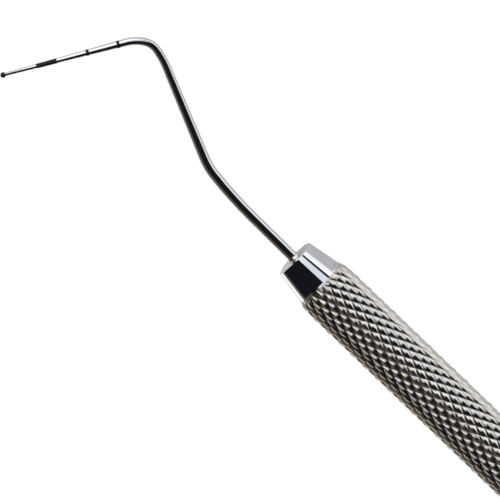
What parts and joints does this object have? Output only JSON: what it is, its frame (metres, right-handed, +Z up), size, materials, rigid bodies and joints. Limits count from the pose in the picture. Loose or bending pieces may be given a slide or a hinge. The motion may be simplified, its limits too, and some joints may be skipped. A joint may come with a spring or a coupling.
{
  "type": "ball-ended periodontal probe",
  "caption": "Slim steel dental probe: knurled round handle, tapered nose with flats, and a bent tapered wire with black depth marks and a black ball end.",
  "frame": {"origin": "on the surface that the instrument lies on, under the middle of its outline from above", "axes": "+X along the handle from the butt to the tip, +Z up from the surface; the bend's plane leans 29.4 degrees from level, with the upper bend's back on the surface on the -Y side and the ball raised on the +Y side"},
  "size_m": [0.1624, 0.011, 0.0064],
  "materials": {
    "handle_steel": "knurled grip, bright turned nose, plated and polished",
    "wire_steel": "drawn and ground wire, polished along its length",
    "braze": "silver braze, polished over",
    "black_mark": "thin black enamel, satin"
  },
  "bodies": {
    "root": {"handle": "handle_steel", "probe_shank": "wire_steel", "braze_fillet": "braze", "ball_coat": "black_mark", "depth_band": "black_mark", "depth_ring_8_5": "black_mark", "depth_ring_11_5": "black_mark"}
  },
  "joints": []
}
